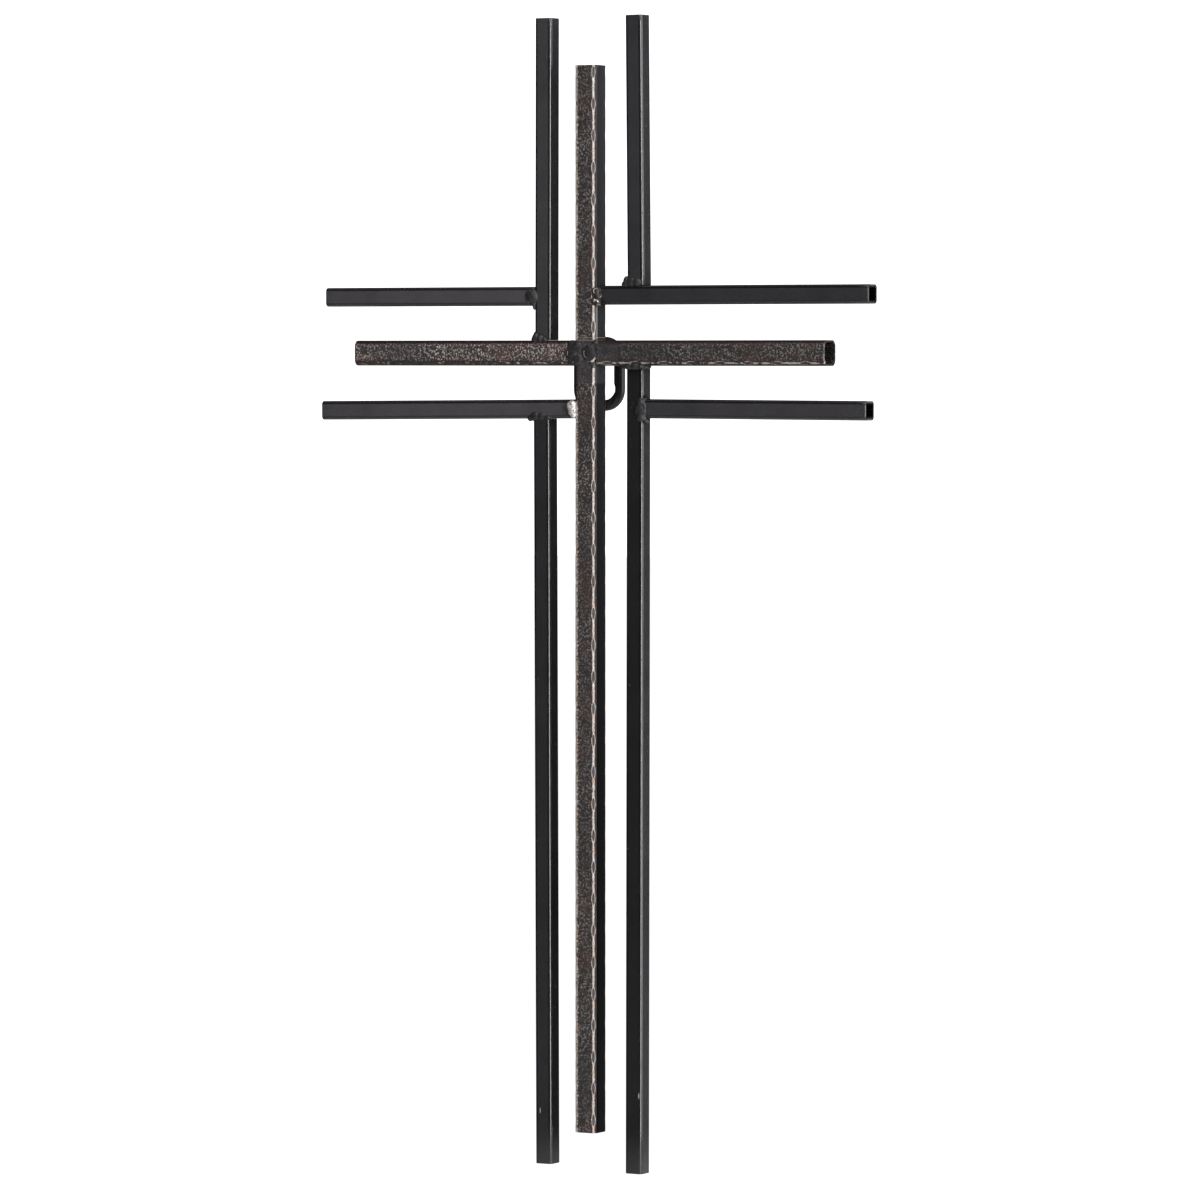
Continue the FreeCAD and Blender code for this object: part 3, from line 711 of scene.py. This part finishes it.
def stoved_black_paint(paint):
    """Drawn steel tube, sprayed satin black and stoved.

    The eye gets an even black with a soft sheen, faint draw lines along the tube, a few
    smudges and specks, and a thin grey line where the coat drew back from each corner.
    """
    material, tree = new_material("stoved_satin_black_paint_on_drawn_tube")
    point = add(tree, "Attribute", output="Vector", attribute_name="tube_point")
    ridge, tone = (
        add(tree, "Attribute", output="Fac", attribute_name=name) for name in ("ridge", "tone"))
    smudge = add(tree, "TexNoise",
                 {"Vector": point, "Scale": 1 / (24 * MM), "Detail": 4, "Roughness": 0.6})
    cloudy = add(tree, "MapRange",
                 {"Value": smudge, "From Min": 0.3, "From Max": 0.7, "To Min": 0.85, "To Max": 1.15})
    # the tone attribute carries painted light, each face paler or darker as the light falls on it,
    # and painted shade in the bore
    cloudy = add(tree, "Math", {0: cloudy, 1: tone}, operation="MULTIPLY")
    # painted shade: the coat is darkened round the corners
    painted_corner_shade = add(tree, "MapRange",
                {"Value": ridge, "From Min": 1.2 * MM, "From Max": 2.0 * MM, "To Min": 0.2,
                 "To Max": 1.0}, interpolation_type="SMOOTHSTEP")
    cloudy = add(tree, "Math", {0: cloudy, 1: painted_corner_shade}, operation="MULTIPLY")
    coat = add(tree, "VectorMath", {0: paint.black[:3], "Scale": cloudy}, operation="SCALE")
    # specks of dust under the paint, under a millimetre across and well apart
    specks = add(tree, "TexVoronoi", {"Vector": point, "Scale": 1 / (7 * MM)}, output="Distance")
    specks = add(tree, "MapRange",
                 {"Value": specks, "From Min": 0.03, "From Max": 0.07, "To Min": 0.5,
                  "To Max": 0.0})
    speckled = add(tree, "Mix", {0: specks, 6: coat, 7: paint.rubbed}, 2, data_type="RGBA")
    # one slanting knock
    knock = add(tree, "Attribute", output="Vector", attribute_name="knock")
    knock = add(tree, "Mapping",
                {"Vector": knock, "Rotation": (0, math.radians(35), 0), "Scale": (1, 0.5, 0.2)})
    knock = add(tree, "VectorMath", {0: knock}, "Value", operation="LENGTH")
    knock = add(tree, "MapRange",
                {"Value": knock, "From Min": 0.25 * MM, "From Max": 0.45 * MM, "To Min": 0.8,
                 "To Max": 0.0})
    speckled = add(tree, "Mix", {0: knock, 6: speckled, 7: paint.bare}, 2, data_type="RGBA")
    thin = add(tree, "MapRange",
               {"Value": ridge, "From Min": 0.1 * MM, "From Max": 0.4 * MM, "To Min": 0.15,
                "To Max": 0.0}, interpolation_type="SMOOTHSTEP")
    colour = add(tree, "Mix", {0: thin, 6: speckled, 7: paint.rubbed}, 2, data_type="RGBA")
    gloss = add(tree, "MapRange",
                {"Value": smudge, "From Min": 0.3, "From Max": 0.7, "To Min": 0.22, "To Max": 0.28})
    # draw lines just under a millimetre apart, stretched along the tube
    drawn = add(tree, "Mapping", {"Vector": point, "Scale": (1, 1, 0.02)})
    lines = add(tree, "TexNoise", {"Vector": drawn, "Scale": 1 / (0.9 * MM), "Detail": 2})
    relief = add(tree, "Bump", {"Height": lines, "Strength": 0.06, "Distance": 0.02 * MM})
    peel = add(tree, "TexNoise", {"Vector": point, "Scale": 1 / (1.6 * MM), "Detail": 2})
    relief = add(tree, "Bump",
                 {"Height": peel, "Strength": 0.04, "Distance": 0.02 * MM, "Normal": relief})
    surface = add(tree, "BsdfPrincipled",
                  {"Base Color": colour, "Roughness": gloss, "Normal": relief})
    add(tree, "OutputMaterial", {"Surface": surface}, None)
    return material


def painted_weld(paint):
    """Arc weld bead under thin black paint.

    The eye gets a lumpy black mottled with grey, and bare steel or copper where the coat has come
    off the tops of the ripples, with painted highlights: bright arcs of bare metal along some rims,
    and metal painted paler on the shiniest beads.
    """
    material, tree = new_material("chipped_black_paint_on_weld")
    point = add(tree, "TexCoord", output="Object")
    chipped, coppery, shine = (
        add(tree, "Attribute", output="Fac", attribute_name=name) for name in (
            "chipped", "coppery", "shine"))
    ripple = add(tree, "TexNoise",
                 {"Vector": point, "Scale": 1 / (2.2 * MM), "Detail": 3, "Roughness": 0.6})
    level = add(tree, "Math", {0: ripple, 1: chipped}, operation="ADD")
    chips = add(tree, "MapRange",
                {"Value": level, "From Min": 0.76, "From Max": 0.84},
                interpolation_type="SMOOTHSTEP")
    metal = add(tree, "Mix", {0: coppery, 6: paint.bare, 7: paint.warm_metal}, 2, data_type="RGBA")
    # painted highlight: the metal's colour is made paler on the shiniest beads
    metal = add(tree, "VectorMath", {0: metal, "Scale": shine}, operation="SCALE")
    mottle = add(tree, "TexNoise", {"Vector": point, "Scale": 1 / (1.0 * MM), "Detail": 2})
    mottled = add(tree, "MapRange",
                  {"Value": mottle, "From Min": 0.45, "From Max": 0.75, "To Max": 0.09})
    coat = add(tree, "Mix", {0: mottled, 6: paint.black, 7: paint.rubbed}, 2, data_type="RGBA")
    colour = add(tree, "Mix", {0: chips, 6: coat, 7: metal}, 2, data_type="RGBA")
    gloss = add(tree, "MapRange", {"Value": mottle, "To Min": 0.4, "To Max": 0.55})
    bare_metal = add(tree, "Math", {0: chips, 1: 0.6}, operation="MULTIPLY")
    relief = add(tree, "Bump", {"Height": ripple, "Strength": 0.7, "Distance": 0.3 * MM})
    relief = add(tree, "Bump",
                 {"Height": mottle, "Strength": 0.5, "Distance": 0.08 * MM, "Normal": relief})
    surface = add(tree, "BsdfPrincipled",
                  {"Base Color": colour, "Metallic": bare_metal, "Roughness": gloss,
                   "Specular IOR Level": 0.3, "Normal": relief})
    add(tree, "OutputMaterial", {"Surface": surface}, None)
    return material


def ring_paint(paint):
    """Cold bent round rod, brushed with the nearly black bronze paint.

    The eye gets a deep black, a little uneven from the brush, with scuffs.
    """
    material, tree = new_material("brushed_black_paint_on_bent_rod")
    point = add(tree, "TexCoord", output="Object")
    scuff = add(tree, "TexNoise",
                {"Vector": point, "Scale": 1 / (5 * MM), "Detail": 5, "Roughness": 0.65})
    worn = add(tree, "MapRange",
               {"Value": scuff, "From Min": 0.62, "From Max": 0.72, "To Max": 0.2})
    colour = add(tree, "Mix", {0: worn, 6: paint.bronze, 7: paint.rubbed}, 2, data_type="RGBA")
    gloss = add(tree, "MapRange",
                {"Value": scuff, "From Min": 0.3, "From Max": 0.7, "To Min": 0.3, "To Max": 0.4})
    brushed = add(tree, "TexNoise", {"Vector": point, "Scale": 1 / (1.2 * MM), "Detail": 2})
    relief = add(tree, "Bump", {"Height": brushed, "Strength": 0.4, "Distance": 0.05 * MM})
    surface = add(tree, "BsdfPrincipled",
                  {"Base Color": colour, "Roughness": gloss, "Specular IOR Level": 0.25,
                   "Normal": relief})
    add(tree, "OutputMaterial", {"Surface": surface}, None)
    return material


def pale_floor(paint):
    """Matt painted board: the eye gets an even near white."""
    material, tree = new_material("matt_white_painted_board")
    point = add(tree, "TexCoord", output="Object")
    mottle = add(tree, "TexNoise", {"Vector": point, "Scale": 3.0, "Detail": 3})
    gloss = add(tree, "MapRange", {"Value": mottle, "To Min": 0.75, "To Max": 0.9})
    seen = add(tree, "LightPath", output="Is Camera Ray")
    surface = add(tree, "BsdfPrincipled",
                  {"Base Color": paint.floor, "Roughness": gloss,
                   "Emission Color": (1, 1, 1, 1), "Emission Strength": seen})
    add(tree, "OutputMaterial", {"Surface": surface}, None)
    return material


class CROSS_OT_hammered_tubes(bpy.types.Operator):
    """Model the post and the two arms of hammered tube"""

    bl_idname = "cross.hammered_tubes"
    bl_label = "Hammered tubes"

    def execute(self, context):
        sizes = context.scene.cross_tubes
        marks = context.scene.cross_marks
        material = rubbed_bronze_paint(context.scene.cross_paint, marks)
        for node, pale in HAMMERED_TUBES.items():
            start, length, width, angle = tube_line(node)
            corner = sizes.hammered_corner
            upright = node == "center_post"
            rings = length / RING_STEP
            coarse = max(2, round(math.sqrt(rings)))
            piece = open_square(node + "_tube", width, length, corner, 8,
                                (coarse, math.ceil(rings / coarse)))
            places = coordinates(piece)
            ridge, nearest = corner_places(places, width, corner, marks.turn)
            ridge = np.abs(ridge)
            # the post's left front corner: a wider bare band painted paler, partly real wear and
            # partly a painted highlight
            wear_and_painted_highlight = (nearest == LEFT_FRONT) & upright
            height = np.full(len(places), FAR_OFF)
            if upright:
                height = places[:, 2] + start.z - CROSSING.z
                heated = (height > HEAT_FOOT) & (height < HEAT_TOP)
            elif node == "right_arm":
                heated = places[:, 2] < HEAT_ALONG[node]
            else:
                heated = places[:, 2] > length - HEAT_ALONG[node]
            covered = (height > COVERED_FOOT[nearest]) & (height < HEAT_TOP)
            # the grain is rolled into the fronts and backs, and the weld's heat drew it flat
            flat = np.abs(places[:, 1]) - np.abs(places[:, 0])
            dimpled = np.clip(flat / GRAIN_EDGE + 1, 0, 1)
            dimpled = np.where(heated, HEATED_GRAIN * dimpled, dimpled)
            # painted light: each face of the tube is painted paler or darker as the light falls on
            # it
            painted_paleness = painted_light_tones(places, pale, length)
            store(piece, "tube_point", places)
            store(piece, "height", height)
            store(piece, "ridge", ridge)
            store(piece, "worn", np.where(wear_and_painted_highlight, ridge / WIDER, ridge))
            store(piece, "rub", np.where(covered, KEPT, np.array(RUBBED[node])[nearest]))
            store(piece, "shine", np.where(wear_and_painted_highlight, PAINTED_HIGHLIGHT_GAIN, 1.0))
            store(piece, "dimpled", dimpled)
            store(piece, "tone", np.where(heated, HEATED_TONE * painted_paleness, painted_paleness))
            off_mark = press_marks(places, width, corner, marks)
            # ten marks are added so that none is measured below nought
            off_mark = np.where(wear_and_painted_highlight, marks.pitch / 2, off_mark)
            store(piece, "along", off_mark + 10 * marks.pitch)
            move_vertices(piece, places)
            group = piece.vertex_groups.new(name="dimpled")
            for index in np.flatnonzero(dimpled > 0.01):
                group.add([int(index)], float(dimpled[index]), "REPLACE")
            roughen(piece, "dimpled", marks.grain, marks.grain_depth)
            # the grain is pressed square to the tube, so its ends stay flat
            grained = coordinates(piece)
            grained[:, 2] = places[:, 2]
            move_vertices(piece, grained)
            cut_ends(piece, width, sizes.wall, sizes.deburr)
            paint_bore_shade(piece, width, corner, sizes.wall)
            place_tube(piece, start, angle)
            finish_piece(piece, material, "hammered_tube", node)
        return {"FINISHED"}


class CROSS_OT_smooth_tubes(bpy.types.Operator):
    """Model the eight smooth tubes around the crossing"""

    bl_idname = "cross.smooth_tubes"
    bl_label = "Smooth tubes"

    def execute(self, context):
        sizes = context.scene.cross_tubes
        material = stoved_black_paint(context.scene.cross_paint)
        for node, pale in SMOOTH_TUBES.items():
            start, length, width, angle = tube_line(node)
            corner = sizes.smooth_corner
            piece = open_square(node + "_tube", width, length, corner, 4, (20,))
            places = coordinates(piece)
            ridge = corner_places(places, width, corner, math.pi / 4)[0]
            across, up = KNOCKS.get(node, (FAR_OFF / MM, FAR_OFF / MM))
            knock = Vector((across * MM, -width / 2, up * MM + CROSSING.z - start.z))
            store(piece, "tube_point", places)
            store(piece, "ridge", np.abs(ridge))
            # painted light: each face of the tube is painted paler or darker as the light falls on
            # it
            store(piece, "tone", painted_light_tones(places, pale, length))
            store(piece, "knock", places - knock)
            cut_ends(piece, width, sizes.wall, sizes.deburr)
            paint_bore_shade(piece, width, corner, sizes.wall)
            place_tube(piece, start, angle)
            finish_piece(piece, material, "smooth_tube", node)
        return {"FINISHED"}


class CROSS_OT_hanging_ring(bpy.types.Operator):
    """Model the oval ring of round rod behind the crossing"""

    bl_idname = "cross.hanging_ring"
    bl_label = "Hanging ring"

    def execute(self, context):
        sizes = context.scene.cross_ring
        low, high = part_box("hanging_ring")
        middle = (low + high) / 2
        half_wide = (high.x - low.x - sizes.rod) / 2
        half_tall = (high.z - low.z - sizes.rod) / 2
        bend = sizes.bend
        bpy.ops.object.select_all(action="DESELECT")
        bpy.ops.mesh.primitive_circle_add(
            vertices=28, radius=sizes.rod / 2, location=(middle.x, middle.y, middle.z + half_tall),
            rotation=(0, math.pi / 2, 0))
        piece = context.object
        piece.name = "bent_ring"
        bpy.ops.object.transform_apply(location=True, rotation=True, scale=True)
        bpy.ops.object.mode_set(mode="EDIT")
        bpy.ops.mesh.select_mode(type="EDGE")
        bpy.ops.mesh.select_all(action="SELECT")
        # clockwise from the top: half a top side, then bend after bend
        runs = [
            (Vector((half_wide - bend, 0, 0)), (half_wide - bend, half_tall - bend)),
            (Vector((0, 0, 2 * (bend - half_tall))), (half_wide - bend, bend - half_tall)),
            (Vector((2 * (bend - half_wide), 0, 0)), (bend - half_wide, bend - half_tall)),
            (Vector((0, 0, 2 * (half_tall - bend))), (bend - half_wide, half_tall - bend)),
        ]
        for run, (across, up) in runs:
            count = max(1, round(run.length / (0.5 * MM)))
            for step in range(count):
                bpy.ops.mesh.extrude_edges_move(TRANSFORM_OT_translate={"value": run / count})
            bpy.ops.mesh.spin(
                steps=14, angle=-math.pi / 2, axis=(0, 1, 0), use_auto_merge=False,
                center=(middle.x + across, middle.y, middle.z + up))
        bpy.ops.mesh.extrude_edges_move(TRANSFORM_OT_translate={"value": runs[0][0]})
        bpy.ops.mesh.select_all(action="SELECT")
        bpy.ops.mesh.remove_doubles(threshold=0.02 * MM)
        bpy.ops.mesh.normals_make_consistent(inside=False)
        bpy.ops.object.mode_set(mode="OBJECT")
        places = coordinates(piece)
        # the notch is worn into the inner side of the right leg
        across = high.x - sizes.rod + sizes.notch_depth - sizes.notch_radius
        off = places[:, 2] + sizes.notch_drop
        inside = (np.abs(off) < sizes.notch_radius) & (places[:, 0] > middle.x)
        reach = across + np.sqrt(np.maximum(sizes.notch_radius ** 2 - off ** 2, 0))
        places[:, 0] = np.where(inside, np.maximum(places[:, 0], reach), places[:, 0])
        move_vertices(piece, places)
        alone(piece)
        bpy.ops.object.shade_smooth()
        finish_piece(piece, ring_paint(context.scene.cross_paint), "ring_rod", "hanging_ring")
        return {"FINISHED"}


class CROSS_OT_weld_beads(bpy.types.Operator):
    """Lay a lumpy bead of weld on every joint"""

    bl_idname = "cross.weld_beads"
    bl_label = "Weld beads"

    def execute(self, context):
        sizes = context.scene.cross_beads
        material = painted_weld(context.scene.cross_paint)
        for name, puddles in BEADS.items():
            parts = []
            for across, back, up, half_across, half_back, half_up in puddles:
                bpy.ops.object.select_all(action="DESELECT")
                bpy.ops.mesh.primitive_uv_sphere_add(
                    segments=24, ring_count=14, radius=MM,
                    location=CROSSING + MM * Vector((across, back, up)),
                    scale=(half_across, half_back, half_up))
                parts.append(context.object)
            for part in parts:
                part.select_set(True)
            context.view_layer.objects.active = parts[0]
            bpy.ops.object.join()
            piece = context.object
            piece.name = "bead_" + name
            bpy.ops.object.transform_apply(location=True, rotation=True, scale=True)
            fused = piece.modifiers.new("fused", "REMESH")
            fused.mode = "VOXEL"
            fused.voxel_size = sizes.voxel
            settled = piece.modifiers.new("settled", "SMOOTH")
            settled.iterations = 6
            for modifier in (fused, settled):
                alone(piece)
                bpy.ops.object.modifier_apply(modifier=modifier.name)
            roughen(piece, None, sizes.ripple, sizes.ripple_height, 0.6)
            places = (coordinates(piece) - CROSSING) / MM
            chipped, coppery, shine = (np.full(len(places), value) for value in CHIPS_AND_PAINTED_SHINE[name])
            # painted highlights: bright arcs of bare metal along the rims of some puddles
            for bead, number, share, first, last in HIGHLIGHT_ARCS:
                if bead == name:
                    across, back, up, half_across, half_back, half_up = puddles[number]
                    right = (places[:, 0] - across) / half_across
                    above = (places[:, 2] - up) / half_up
                    turn = (np.degrees(np.arctan2(above, right)) - first) % 360
                    off_arc = np.abs(np.hypot(right, above) - share)
                    edge = np.clip(1 - off_arc / ARC_WIDTH, 0, 1)
                    chipped += np.where(turn < last - first, ARC_HIGHLIGHT * edge, 0)
            store(piece, "chipped", chipped)
            store(piece, "coppery", coppery)
            store(piece, "shine", shine)
            bpy.ops.object.shade_smooth()
            finish_piece(piece, material, "weld_bead", "weld_" + name)
        return {"FINISHED"}


class CROSS_OT_studio(bpy.types.Operator):
    """Lay the pale floor and set the lights and the camera"""

    bl_idname = "cross.studio"
    bl_label = "Studio"

    def execute(self, context):
        studio = context.scene.cross_studio
        scene = context.scene
        bpy.ops.object.select_all(action="DESELECT")
        bpy.ops.mesh.primitive_plane_add(size=60, location=(0, 0, CROSSING.z - studio.floor_drop))
        floor = context.object
        floor.name = "floor"
        bpy.ops.object.transform_apply(location=True)
        floor.data.materials.append(pale_floor(scene.cross_paint))

        aim = CROSSING + Vector((
            studio.aim_shift * math.cos(studio.azimuth),
            TUBE_MIDDLE + studio.aim_shift * math.sin(studio.azimuth),
            -studio.aim_drop))
        eye = CROSSING + Vector((
            studio.distance * math.sin(studio.azimuth),
            TUBE_MIDDLE - studio.distance * math.cos(studio.azimuth), 0))
        bpy.ops.object.camera_add(location=eye)
        camera = context.object
        camera.name = "camera"
        camera.rotation_euler = (aim - eye).to_track_quat("-Z", "Y").to_euler()
        camera.data.lens = studio.lens
        camera.data.sensor_width = 36
        camera.data.clip_end = 80
        scene.camera = camera

        for name, (azimuth, rise, away, wide, tall, power) in SOFTBOXES.items():
            turn = math.radians(azimuth)
            tilt = math.radians(rise)
            place = CROSSING + away * Vector((
                math.sin(turn) * math.cos(tilt), -math.cos(turn) * math.cos(tilt), math.sin(tilt)))
            bpy.ops.object.light_add(type="AREA", location=place)
            light = context.object
            light.name = name
            light.data.shape = "RECTANGLE"
            light.data.size = wide
            light.data.size_y = tall
            light.data.energy = power
            light.rotation_euler = (CROSSING - place).to_track_quat("-Z", "Y").to_euler()

        world = bpy.data.worlds.new("white_studio")
        scene.world = world
        world.use_nodes = True
        tree = world.node_tree
        tree.nodes.clear()
        seen = add(tree, "LightPath", output="Is Camera Ray")
        strength = add(tree, "MapRange",
                       {"Value": seen, "To Min": ROOM_LIGHT, "To Max": ROOM_WHITE})
        sky = add(tree, "Background", {"Color": (1, 1, 1, 1), "Strength": strength})
        add(tree, "OutputWorld", {"Surface": sky}, None)
        scene.view_settings.view_transform = "Standard"
        return {"FINISHED"}


class CROSS_PT_panel(bpy.types.Panel):
    """Sizes, colours and steps of the wall cross"""

    bl_label = "Wall cross"
    bl_idname = "CROSS_PT_panel"
    bl_space_type = "VIEW_3D"
    bl_region_type = "UI"
    bl_category = "Wall cross"

    def draw(self, context):
        for name, group in GROUPS.items():
            box = self.layout.box()
            box.label(text=group.bl_rna.name)
            for setting in group.__annotations__:
                box.prop(getattr(context.scene, name), setting)
        for step in STEPS:
            self.layout.operator(step.bl_idname)


GROUPS = {
    "cross_tubes": TubeSizes,
    "cross_marks": HammerMarks,
    "cross_ring": RingSizes,
    "cross_beads": BeadSizes,
    "cross_paint": PaintColours,
    "cross_studio": StudioSettings,
}
STEPS = (
    CROSS_OT_hammered_tubes,
    CROSS_OT_smooth_tubes,
    CROSS_OT_hanging_ring,
    CROSS_OT_weld_beads,
    CROSS_OT_studio,
)


def register():
    for kind in (*GROUPS.values(), *STEPS, CROSS_PT_panel):
        bpy.utils.register_class(kind)
    for name, group in GROUPS.items():
        setattr(bpy.types.Scene, name, PointerProperty(type=group))


def unregister():
    for name in GROUPS:
        delattr(bpy.types.Scene, name)
    for kind in reversed((*GROUPS.values(), *STEPS, CROSS_PT_panel)):
        bpy.utils.unregister_class(kind)


def main():
    """Build the cross and its studio."""
    register()
    bpy.ops.cross.hammered_tubes()
    bpy.ops.cross.smooth_tubes()
    bpy.ops.cross.hanging_ring()
    bpy.ops.cross.weld_beads()
    bpy.ops.cross.studio()


if __name__ == "__main__":
    main()
